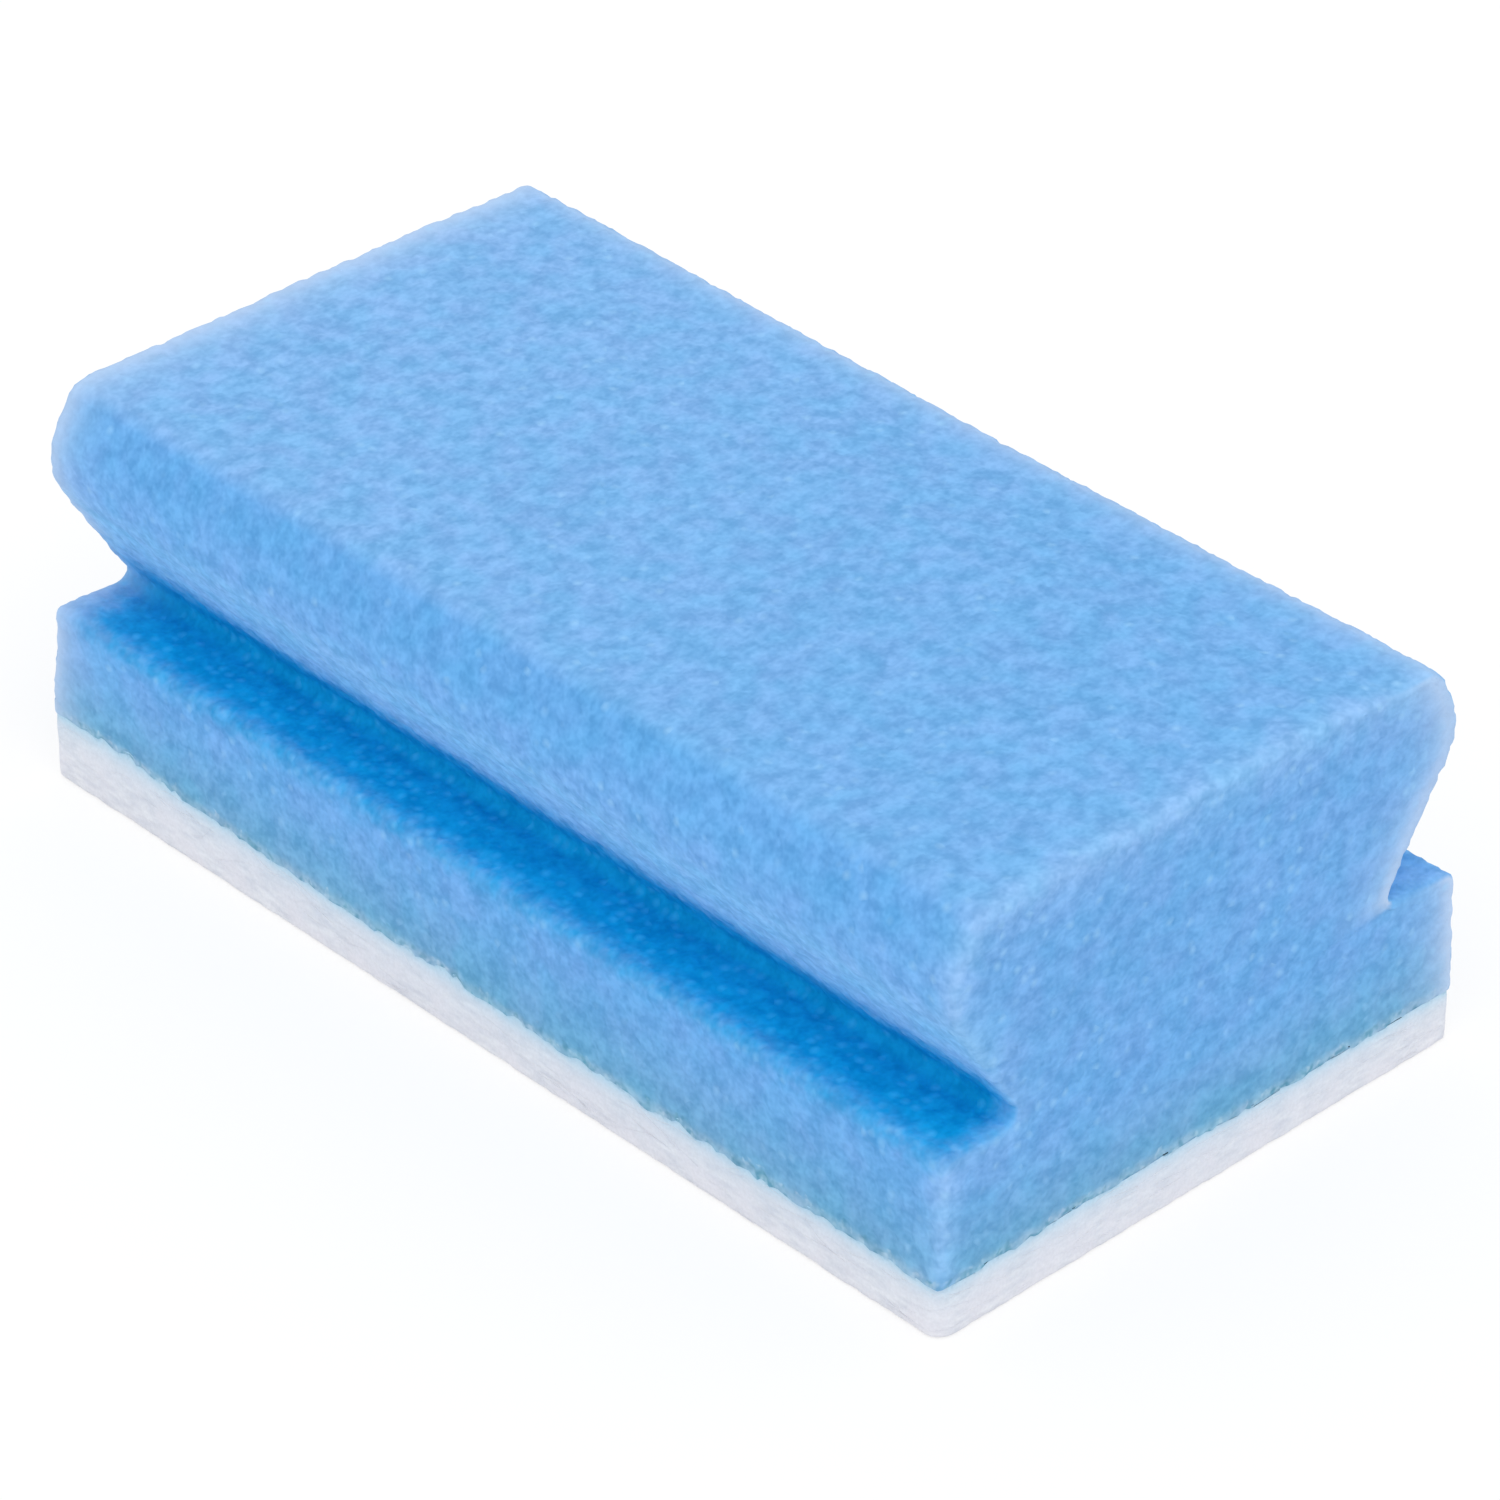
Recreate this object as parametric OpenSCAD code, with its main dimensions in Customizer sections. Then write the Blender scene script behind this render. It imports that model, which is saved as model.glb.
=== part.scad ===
// Cleaning sponge with a contour-cut grip.
// A block of soft foam has a finger groove along each long side, so that the head above
// the grooves can be pinched. A pad of fleece for gentle scouring is bonded underneath.
// Millimetres. +X runs along the length and +Z up. The origin is the middle of the
// underside of the fleece, on the surface that the sponge rests on.

/* [Overall] */
// Length of the sponge, the same for foam and fleece
sponge_length = 130; // [90:1:200]
// Width of the sponge at its base, the same for foam and fleece
base_width = 70; // [56:1:110]
// Height of the foam, from the bonded seam to the top of the head
foam_height = 40; // [34:1:60]

/* [Grip] */
// Depth of the foam base, from the bonded seam to the shelf where the fingers rest
base_depth = 14.2; // [8:0.1:18]
// Depth of each finger groove, from the side of the base in to its root
groove_depth = 10.4; // [7:0.1:13]
// Distance from the top of the head down to its lips, where the head is widest
lip_drop = 8; // [7.5:0.1:11]
// Radius of the lips
lip_radius = 8; // [4:0.5:8.5]
// How far each lip stands back from the side of the base
lip_inset = 0.7; // [0:0.1:3]
// How far the edge of the flat top stands back from the side of the base
crown_inset = 4.1; // [3:0.1:6]

/* [Rounding] */
// Radius of the long edges of the head's top
crown_radius = 3; // [0.5:0.5:4]
// Radius of the outer edge of the shelf
shelf_radius = 1.4; // [0.4:0.1:3]
// Radius at the root of each groove
root_radius = 1.2; // [0.4:0.1:2.5]
// Radius of the foam's cut edges at the two ends
end_radius = 1; // [0.5:0.1:3]

/* [Fleece pad] */
// Thickness of the fleece along most of the sponge
pad_thickness = 6; // [3:0.5:12]
// Extra thickness that the fleece gains towards its thick end
pad_swell = 2.2; // [0.5:0.1:4]
// Length over which the fleece thickens
swell_length = 60; // [20:1:64]
// Radius of the fleece's upright corners
pad_corner_radius = 1.5; // [0.5:0.5:6]
// Radius of the fleece's lower edges
pad_edge_radius = 0.7; // [0.5:0.1:2.5]

/* [Hidden] */
$fn = 96;

// A round goes this far past the flats that it blends into, so that they always meet
blend = 0.002;
// A view is drawn this much larger where another view sets the size
slack = 2 * blend;
// How far an outline is carried past the solid that it shapes
spare = 5;

sponge_height = pad_thickness + foam_height;
half_base = base_width / 2;

// The right half of the grip's section: y across, z up from the surface underneath
root_corner = [half_base - groove_depth, pad_thickness + base_depth];
lip_centre = [half_base - lip_inset - lip_radius, sponge_height - lip_drop];
crown_corner = [half_base - crown_inset, sponge_height];
// The underside of the head leaves the groove's root, and the brow leaves the top.
// Both touch the round of the lip, and their lines cross just outside it.
underside = heading(tangent_angle(root_corner, lip_centre, lip_radius, -1));
brow = heading(tangent_angle(crown_corner, lip_centre, lip_radius, 1));
lip_corner = crossing(root_corner, underside, crown_corner, brow);

// Unit vector at an angle from the first axis
function heading(angle) = [cos(angle), sin(angle)];

// Unit vector from point a towards point b
function towards(a, b) = (b - a) / norm(b - a);

// Angle of the line from point p that touches a circle, on its right (-1) or left (1) side
function tangent_angle(p, centre, radius, side) =
    atan2(centre.y - p.y, centre.x - p.x) + side * asin(radius / norm(centre - p));

// Where the line from p along u crosses the line from q along v
function crossing(p, u, q, v) = p + u * cross(q - p, v) / cross(u, v);

// Half of the angle between the edges that meet at corner b of the path a, b, c
function half_angle(a, b, c) = acos(towards(b, a) * towards(b, c)) / 2;

// Distance from corner b to each end of its fillet
function setback(a, b, c, radius) = radius / tan(half_angle(a, b, c));

// Centre of the fillet at corner b, on the line that halves the corner
function fillet_centre(a, b, c, radius) =
    b + towards([0, 0], towards(b, a) + towards(b, c)) * radius / sin(half_angle(a, b, c));

// A corner of an outline is [across, up, radius], and this is its place
function place(corner) = [corner.x, corner.y];

// The same corner on the other side of the middle
function mirrored(corner) = [-corner.x, corner.y, corner[2]];

// Corner number i of an outline with the corners beside it: before, at, after, radius
function bend(corners, i) =
    let (n = len(corners))
    [place(corners[(i + n - 1) % n]), place(corners[i]), place(corners[(i + 1) % n]), corners[i][2]];

// Above 0 where an outline that is drawn anticlockwise stands out, below 0 at a hollow
function stands_out(b) = cross(b[1] - b[0], b[2] - b[1]);

// The two ends of the straight cut across a corner, or the corner where it stays sharp
function cut_ends(b) =
    b[3] == 0 ? [b[1]] : [
        b[1] + towards(b[1], b[0]) * setback(b[0], b[1], b[2], b[3]),
        b[1] + towards(b[1], b[2]) * setback(b[0], b[1], b[2], b[3])
    ];

// The round of one corner: the part of its circle in a wedge a little wider than the arc
module corner_round(b) {
    centre = fillet_centre(b[0], b[1], b[2], b[3]);
    reach = setback(b[0], b[1], b[2], b[3]) + b[3] / 5;
    wedge = [b[1] + towards(b[1], b[0]) * reach, b[1], b[1] + towards(b[1], b[2]) * reach];
    intersection() {
        translate(centre) circle(r = b[3] + blend);
        polygon([centre, for (p = wedge) 2 * p - centre]);
    }
}

// A closed outline whose corners, listed anticlockwise, each have a radius of their own
module rounded_outline(corners) {
    bends = [for (i = [0 : len(corners) - 1]) bend(corners, i)];
    difference() {
        union() {
            polygon([for (b = bends) each cut_ends(b)]);
            for (b = bends) if (b[3] > 0 && stands_out(b) > 0) corner_round(b);
        }
        for (b = bends) if (b[3] > 0 && stands_out(b) < 0) corner_round(b);
    }
}

// An oblong from the surface up, with one radius for its lower and one for its upper corners
module oblong(width, height, lower_radius, upper_radius) {
    right = [[width / 2, 0, lower_radius], [width / 2, height, upper_radius]];
    rounded_outline([each right, mirrored(right[1]), mirrored(right[0])]);
}

// The plan of a block with rounded upright corners. The other views set its four sides.
module plan(corner_radius) {
    translate([0, -half_base - slack])
        oblong(sponge_length + 2 * slack, base_width + 2 * slack, corner_radius, corner_radius);
}

// Carries an outline drawn across (y) and up (z) along the length
module along_length() {
    rotate([90, 0, 90]) linear_extrude(sponge_length + 2 * spare, center = true) children();
}

// Carries an outline drawn along (x) and up (z) across the width
module across_width() {
    rotate([90, 0, 0]) linear_extrude(base_width + 2 * spare, center = true) children();
}

// Carries a plan from the surface up past the top
module upright() {
    translate([0, 0, -spare]) linear_extrude(sponge_height + 2 * spare) children();
}

// Section of the grip: base, finger grooves and head. It reaches down past the seam.
module grip_section() {
    right = [
        [half_base, 0, 0],
        [half_base, root_corner.y, shelf_radius],
        [root_corner.x, root_corner.y, root_radius],
        [lip_corner.x, lip_corner.y, lip_radius],
        [crown_corner.x, crown_corner.y, crown_radius]
    ];
    rounded_outline([each right, for (i = [len(right) - 1 : -1 : 0]) mirrored(right[i])]);
}

// Side view of the fleece under its seam, which rises in a long arc at the thick end
module under_seam() {
    swell_radius = (swell_length ^ 2 + pad_swell ^ 2) / (2 * pad_swell);
    thick_end = -sponge_length / 2;
    translate([thick_end - spare, 0]) square([sponge_length + 2 * spare, pad_thickness]);
    difference() {
        translate([thick_end - spare, 0])
            square([swell_length + spare, pad_thickness + 2 * pad_swell]);
        translate([thick_end + swell_length, pad_thickness + swell_radius - blend])
            circle(r = swell_radius, $fn = 1440);
    }
}

module foam_grip() {
    color([0.47, 0.7, 0.93])
    intersection() {
        along_length() grip_section();
        across_width() difference() {
            oblong(sponge_length, sponge_height + slack, 0, end_radius);
            under_seam();
        }
        upright() plan(end_radius);
    }
}

module fleece_pad() {
    color([0.87, 0.89, 0.93])
    intersection() {
        across_width() intersection() {
            oblong(sponge_length, sponge_height, pad_edge_radius, 0);
            under_seam();
        }
        along_length() translate([0, -slack])
            oblong(base_width, sponge_height, pad_edge_radius, 0);
        upright() plan(pad_corner_radius);
    }
}

foam_grip();
fleece_pad();
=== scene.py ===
# Cleaning sponge: a contour-cut grip of soft foam on a pad of scouring fleece.
# Everything is in metres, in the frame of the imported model.
import bmesh
import bpy
import numpy as np
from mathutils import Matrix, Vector


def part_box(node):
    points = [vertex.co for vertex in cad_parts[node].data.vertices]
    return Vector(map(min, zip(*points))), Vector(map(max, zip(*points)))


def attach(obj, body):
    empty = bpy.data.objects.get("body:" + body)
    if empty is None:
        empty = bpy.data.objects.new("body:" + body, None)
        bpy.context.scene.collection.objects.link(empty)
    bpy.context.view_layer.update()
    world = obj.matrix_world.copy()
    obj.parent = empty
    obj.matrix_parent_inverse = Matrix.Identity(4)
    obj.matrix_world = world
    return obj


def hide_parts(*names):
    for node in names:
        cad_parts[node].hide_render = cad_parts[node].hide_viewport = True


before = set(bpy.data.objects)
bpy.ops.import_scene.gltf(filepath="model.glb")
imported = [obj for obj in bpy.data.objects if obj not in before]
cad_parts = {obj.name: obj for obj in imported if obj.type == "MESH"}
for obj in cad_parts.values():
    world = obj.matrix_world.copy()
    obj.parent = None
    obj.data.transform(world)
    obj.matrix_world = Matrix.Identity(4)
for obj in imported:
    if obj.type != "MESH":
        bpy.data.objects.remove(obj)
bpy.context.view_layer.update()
foamLow, foamHigh = (np.array(corner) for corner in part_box("foam_grip"))
fleeceLow, fleeceHigh = (np.array(corner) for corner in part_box("fleece_pad"))
mm = 0.001

# The seam between foam and fleece, shared by both pieces
seam = {
    "height": 6 * mm,
    "swell": 2.2 * mm,        # the fleece grows this much at its thick end
    "swellLength": 60 * mm,
    "rise": 0.20 * mm,        # the adhesive has drawn the seam up this much all round
    "midRise": 0.45 * mm,     # more between the thick end and the middle,
    "midStart": (-64 * mm, -56 * mm),           # where this starts and ends along the length
    "midEnd": (-4 * mm, 9 * mm),
    "nearRise": 0.45 * mm,    # and it bows up across the near end,
    "nearStart": 0.85,        # from this share of the half length on
    "bowMiddle": -12 * mm,    # where the bow is highest, and how far it reaches to each side
    "bowReach": 24 * mm,
    # how far the cells of the foam bite up and down: (size, depth)
    "ragged": ((5 * mm, 0.20 * mm), (2.3 * mm, 0.26 * mm), (0.9 * mm, 0.36 * mm)),
    "overlap": 0.08 * mm,     # the outermost cells of the foam hang over the rim of the fleece
    # the bonded base stands this far outside its nominal sides, along and across
    "proudLow": np.array([0.45, 0.64]) * mm,    # far end and front
    "proudHigh": np.array([0.42, 0.10]) * mm,   # near end and back
    "proudTop": 19 * mm,      # and narrows to them up to this height
    "rimInset": 0.07 * mm,    # the rim of the fleece is drawn in where it is bonded
    "rimReach": 0.18 * mm,    # and stands up this far behind those cells
}


def smoothStep(low, high, value):  # 0 below low, 1 above high, an S-curve between
    part = np.clip((value - low) / (high - low), 0, 1)
    return part * part * (3 - 2 * part)


def unit(vectors):  # vectors of length 1 along the last axis
    return vectors / np.linalg.norm(vectors, axis=-1, keepdims=True)


# Smooth noise from -1 to 1: random numbers on a cubic lattice, blended by S-curves between
# the eight corners of the lattice cell that a point lies in
def latticeNoise(points, size, seed):
    table = np.random.default_rng(seed).uniform(-1, 1, (48, 48, 48))
    place = points / size
    low = np.floor(place).astype(int)
    part = place - low
    part = part * part * (3 - 2 * part)
    total = np.zeros(len(points))
    for corner in np.ndindex(2, 2, 2):
        weight = np.where(corner, part, 1 - part).prod(axis=1)
        total += weight * table[tuple(((low + corner) % 48).T)]
    return total


# Distance to the nearest of the cell centres, in cells: one centre is scattered in each cube
# of a lattice, and the 27 cubes round a point are searched
def cellDistances(points, size, seed):
    scatter = np.random.default_rng(seed).random((48, 48, 48, 3))
    place = points / size
    low = np.floor(place).astype(int)
    nearest = np.full(len(points), 9.0)
    for offset in np.ndindex(3, 3, 3):
        cube = low + offset - 1
        away = np.linalg.norm(cube + scatter[tuple((cube % 48).T)] - place, axis=1)
        nearest = np.minimum(nearest, away)
    return nearest


# How far a point near the seam is lifted. The seam rises along a circle that leaves the
# level without a kink: its height is the radius less the root of radius squared less the
# distance squared. It is drawn up a little between the thick end and the middle, and in a
# parabola across the near end, and ragged noise is added. All of this fades out over the
# distances given, above and below the seam.
def seamLift(points, swellFade, raggedFade):
    x, y = points[:, 0], points[:, 1]
    radius = (seam["swellLength"] ** 2 + seam["swell"] ** 2) / (2 * seam["swell"])
    past = np.clip(foamLow[0] + seam["swellLength"] - x, 0, None)
    rise = radius - np.sqrt(radius ** 2 - past ** 2)
    bow = np.clip(1 - ((y - seam["bowMiddle"]) / seam["bowReach"]) ** 2, 0, 1)
    nearEnd = smoothStep(seam["nearStart"], 1.0, x / foamHigh[0])
    rise += seam["rise"] + seam["nearRise"] * bow * nearEnd
    middle = 1 - smoothStep(*seam["midEnd"], x)
    rise += seam["midRise"] * middle * smoothStep(*seam["midStart"], x)
    plan = points * (1, 1, 0)
    ragged = sum(depth * latticeNoise(plan, size, 11) for size, depth in seam["ragged"])
    away = np.abs(points[:, 2] - seam["height"])
    return rise * np.clip(1 - away / swellFade, 0, 1) + ragged * np.clip(1 - away / raggedFade, 0, 1)


# The base stands proud of its nominal sides: the plan is stretched from the middle, fully
# up to the seam and less and less above it
def standProud(points):
    share = points[:, :2] / foamHigh[:2]
    reach = np.where(share < 0, seam["proudLow"], seam["proudHigh"])
    fade = 1 - smoothStep(seam["height"], seam["proudTop"], points[:, 2])
    points[:, :2] += share * reach * fade[:, None]


# A path through corners (across, up, radius): straight runs, with each inner corner
# replaced by the arc that touches both of its runs. Also gives the index of each arc's
# start, middle and end.
def roundedPath(corners, arcSteps=32):
    path = [np.array(corners[0][:2])[None]]
    marks = []
    count = 1
    for before, corner, after in zip(corners, corners[1:], corners[2:]):
        here = np.array(corner[:2])
        back = unit(np.array(before[:2]) - here)
        ahead = unit(np.array(after[:2]) - here)
        half = np.arccos(back @ ahead) / 2
        centre = here + unit(back + ahead) * corner[2] / np.sin(half)
        arm = here + back * corner[2] / np.tan(half) - centre
        turn = (np.pi - 2 * half) * np.sign(ahead[0] * back[1] - ahead[1] * back[0])
        angles = turn * np.linspace(0, 1, arcSteps + 1)[:, None]
        across = np.array([-arm[1], arm[0]])
        path.append(centre + arm * np.cos(angles) + across * np.sin(angles))
        marks.append((count, count + arcSteps // 2, count + arcSteps))
        count += arcSteps + 1
    path.append(np.array(corners[-1][:2])[None])
    return np.concatenate(path), marks


# Even steps along a path, with a point kept at each of the given indices. How many steps go
# between two kept points follows from the spacing, unless their counts are given. Gives the
# points, the unit normals on the right-hand side of the path and the kept points' indices.
def evenSteps(path, keep, spacing, counts=None):
    length = np.concatenate([[0], np.linalg.norm(np.diff(path, axis=0), axis=1).cumsum()])
    stops = length[list(keep)]
    if counts is None:
        counts = np.maximum(1, np.round(np.diff(stops) / spacing).astype(int))
    runs = [np.linspace(a, b, n, endpoint=False) for a, b, n in zip(stops, stops[1:], counts)]
    along = np.concatenate(runs + [stops[-1:]])
    kept = np.concatenate([[0], np.cumsum([len(run) for run in runs])])

    def at(distance):
        return np.stack([np.interp(distance, length, path[:, axis]) for axis in (0, 1)], -1)

    step = 0.05 * mm
    ahead = unit(at(along + step) - at(along - step))
    return at(along), np.stack([ahead[:, 1], -ahead[:, 0]], -1), kept


# A grid between four edges: the surface ruled between two opposite edges plus the one ruled
# between the other two, less the surface that only the four corners give
def edgePatch(bottom, top, left, right):
    s = np.linspace(0, 1, len(bottom))[None, :, None]
    t = np.linspace(0, 1, len(left))[:, None, None]
    ruled = (1 - s) * left[:, None] + s * right[:, None] + (1 - t) * bottom[None] + t * top[None]
    flat = (1 - t) * ((1 - s) * bottom[0] + s * bottom[-1]) + t * ((1 - s) * top[0] + s * top[-1])
    return ruled - flat


# A hidden face between two long edges: a coarse grid, and at each end a strip from the edge
# there, with all its points, to the nearest row of the grid. Gives the grid and the strips.
def hiddenFace(left, right, firstEdge, lastEdge, columns=7):
    t = np.linspace(0, 1, columns)[None, :, None]
    grid = (1 - t) * left[1:-1, None] + t * right[1:-1, None]
    return grid, [(firstEdge, grid[0]), (lastEdge, grid[-1])]


# Triangles of a strip between a fine edge and the coarse row beside it, which runs the same
# way: each step of the edge goes to the nearest point of the row, and each step of the row
# closes the gap. Their points are numbered from start, the edge before the row.
def stripFaces(fine, coarse, start):
    near = np.round(np.linspace(0, coarse - 1, fine)).astype(int)
    row = start + fine + near
    edge = start + np.arange(fine)
    turns = np.nonzero(np.diff(near))[0]
    steps = np.stack([edge[:-1], edge[1:], row[:-1]], -1)
    closing = np.stack([edge[turns + 1], row[turns + 1], row[turns]], -1)
    return steps.tolist() + closing.tolist()


# One closed mesh from grids and strips that share their edges: equal points are merged, the
# faces are turned outwards and the shading breaks where they meet at more than 50 degrees
def joinedMesh(name, grids, strips):
    points = []
    faces = []
    start = 0
    for grid in grids:
        rows, columns = grid.shape[:2]
        index = start + np.arange(rows * columns).reshape(rows, columns)
        corners = (index[:-1, :-1], index[:-1, 1:], index[1:, 1:], index[1:, :-1])
        faces.extend(np.stack(corners, -1).reshape(-1, 4).tolist())
        points.append(grid.reshape(-1, 3))
        start += rows * columns
    for edge, row in strips:
        faces.extend(stripFaces(len(edge), len(row), start))
        points.extend((edge, row))
        start += len(edge) + len(row)
    mesh = bpy.data.meshes.new(name)
    mesh.from_pydata(np.concatenate(points).tolist(), [], faces)
    work = bmesh.new()
    work.from_mesh(mesh)
    bmesh.ops.remove_doubles(work, verts=work.verts, dist=0.002 * mm)
    bmesh.ops.recalc_face_normals(work, faces=work.faces)
    work.to_mesh(mesh)
    work.free()
    mesh.set_sharp_from_angle(angle=np.radians(50))
    return mesh


def readVectors(items, field):  # one vector for each vertex of a mesh, as an array
    values = np.empty(len(items) * 3)
    items.foreach_get(field, values)
    return values.reshape(-1, 3)


def storeValue(mesh, name, values):  # a number at each vertex, for the material to read
    attribute = mesh.attributes.new(name, "FLOAT", "POINT")
    attribute.data.foreach_set("value", np.asarray(values, np.float32))


# Puts a finished mesh in the scene as a smooth piece that moves with the sponge
def addPiece(name, mesh, material):
    piece = bpy.data.objects.new(name, mesh)
    bpy.context.scene.collection.objects.link(piece)
    mesh.shade_smooth()
    mesh.materials.append(material)
    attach(piece, "root")
    print(f"{name}: {len(mesh.vertices)} points, {len(mesh.loop_triangles)} triangles")
    return piece


# The nodes of a new material or of the world. Each helper adds and joins nodes in one call,
# and gives the socket that comes out.
class NodeTree:
    def __init__(self, owner):
        if isinstance(owner, str):
            owner = bpy.data.materials.new(owner)
            owner.use_nodes = True
        self.material = owner
        self.nodes = owner.node_tree.nodes
        self.links = owner.node_tree.links
        self.shader = self.nodes.get("Principled BSDF")

    def plug(self, socket, value):  # a socket takes the output of another node, or a plain value
        if isinstance(value, bpy.types.NodeSocket):
            self.links.new(value, socket)
        else:
            socket.default_value = value

    def add(self, kind, output, inputs, **settings):
        node = self.nodes.new(kind)
        for name, value in settings.items():
            setattr(node, name, value)
        for name, value in inputs.items():
            self.plug(node.inputs[name], value)
        return node.outputs[output]

    def place(self):
        return self.add("ShaderNodeTexCoord", "Object", {})

    def stored(self, name):
        return self.add("ShaderNodeAttribute", "Fac", {}, attribute_name=name)

    def noise(self, size, detail=2.0, roughness=0.5, vector=None):
        inputs = {
            "Vector": vector or self.place(), "Scale": 1 / size,
            "Detail": detail, "Roughness": roughness,
        }
        return self.add("ShaderNodeTexNoise", "Fac", inputs)

    def drawnOut(self, direction, stretch):  # the place, with patterns drawn out along a line
        turn = Vector(direction).to_track_quat("Z", "Y").to_euler()
        inputs = {"Vector": self.place(), "Rotation": turn, "Scale": (1, 1, stretch)}
        return self.add("ShaderNodeMapping", "Vector", inputs, vector_type="TEXTURE")

    def cells(self, size, output="Distance"):
        return self.add("ShaderNodeTexVoronoi", output, {"Vector": self.place(), "Scale": 1 / size})

    def dots(self, size, share):  # soft round dots in this share of the cells of a cell pattern
        random = self.add("ShaderNodeSeparateColor", "Red", {"Color": self.cells(size, "Color")})
        chosen = self.spread(self.sums("ADD", random, share), 0.97, 1.05)
        return self.sums("MULTIPLY", chosen, self.spread(self.cells(size), 0.50, 0.05))

    def spread(self, value, low, high, outLow=0.0, outHigh=1.0):  # low..high becomes outLow..outHigh
        inputs = {"Value": value, "From Min": low, "From Max": high, "To Min": outLow, "To Max": outHigh}
        return self.add("ShaderNodeMapRange", "Result", inputs)

    def sums(self, operation, first, second):
        return self.add("ShaderNodeMath", 0, {0: first, 1: second}, operation=operation)

    def mix(self, factor, first, second, blend="MIX"):
        node = self.nodes.new("ShaderNodeMix")
        node.data_type = "RGBA"
        node.blend_type = blend
        for index, value in ((0, factor), (6, first), (7, second)):
            self.plug(node.inputs[index], value)
        return node.outputs[2]


def rgb(red, green, blue):
    return (red, green, blue, 1.0)


foamLooks = {
    # topFar to lipFold: one foam, painted lighter or darker for the light that falls on the faces that
    # look each way
    "topFar": rgb(0.211, 0.450, 0.800),       # the flat top, painted lighter towards the far end, where more light falls
    "topNear": rgb(0.174, 0.424, 0.788),
    "brow": rgb(0.138, 0.402, 0.790),         # the slope from the top down to the lips, painted darker for the lesser light it gets
    "side": rgb(0.176, 0.436, 0.842),         # lips
    "end": rgb(0.169, 0.418, 0.800),
    "base": rgb(0.165, 0.424, 0.830),         # the long sides under the grooves
    # painted lighter for the light that reaches the underside of the head from below
    "underLip": rgb(0.230, 0.522, 0.908),
    "lipFold": rgb(0.180, 0.625, 0.985),      # where the head curls in over the groove, painted lighter and bluer for the light that gets in there
    "deepBlue": rgb(0.0011, 0.285, 0.640),    # light that has gone from wall to wall in the grooves
    "litBlue": rgb(0.0060, 0.390, 0.796),
    "cutEdge": rgb(0.268, 0.518, 0.862),      # thin foam along a cut edge lets light through
    "thinEdge": rgb(0.535, 0.672, 0.885),     # more so along the edges against the light
    "seamTint": rgb(0.165, 0.412, 0.632),     # painted shade, darker and greener towards the fleece
    "seamLine": rgb(0.300, 0.505, 0.675),
    "seamDark": rgb(0.105, 0.310, 0.445),     # dark cells along the seam
    "seamPale": rgb(0.440, 0.640, 0.790),     # tufts of fleece between them
    "cyan": rgb(0.930, 1.000, 0.995),         # slow drift of the hue
    "lavender": rgb(1.070, 0.995, 1.005),
    "shadeDark": rgb(0.740, 0.825, 0.865),    # hollows between the cell walls
    "shadeLight": rgb(1.260, 1.185, 1.140),
    "glint": rgb(0.360, 0.660, 0.960),        # walls of cells that catch the light
    "grooveGlint": rgb(0.055, 0.500, 0.930),
    # the colour changes between these heights of the normal: 1 faces straight up, -1 down
    "topFaces": (0.6, 0.96),
    "browFaces": (0.05, 0.45),
    "underFaces": (-0.1, -0.5),
    "foldFaces": (-0.52, -0.72),
    "hueSize": 4.2 * mm,
    "mottleSize": 1.9 * mm,
    "fineSize": 0.45 * mm,
    "cellSize": 1.1 * mm,
    "glintSize": 1.3 * mm,
    "toothSize": 0.8 * mm,
    "grain": (0, 1, 0),                       # the mottling is drawn out across the width
    "grainStretch": 1.2,
    "glintWeight": (0.42, 0.60),              # on the open faces and in the grooves
    "bump": 0.22,
    "bumpDepth": 0.25 * mm,
}
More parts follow.
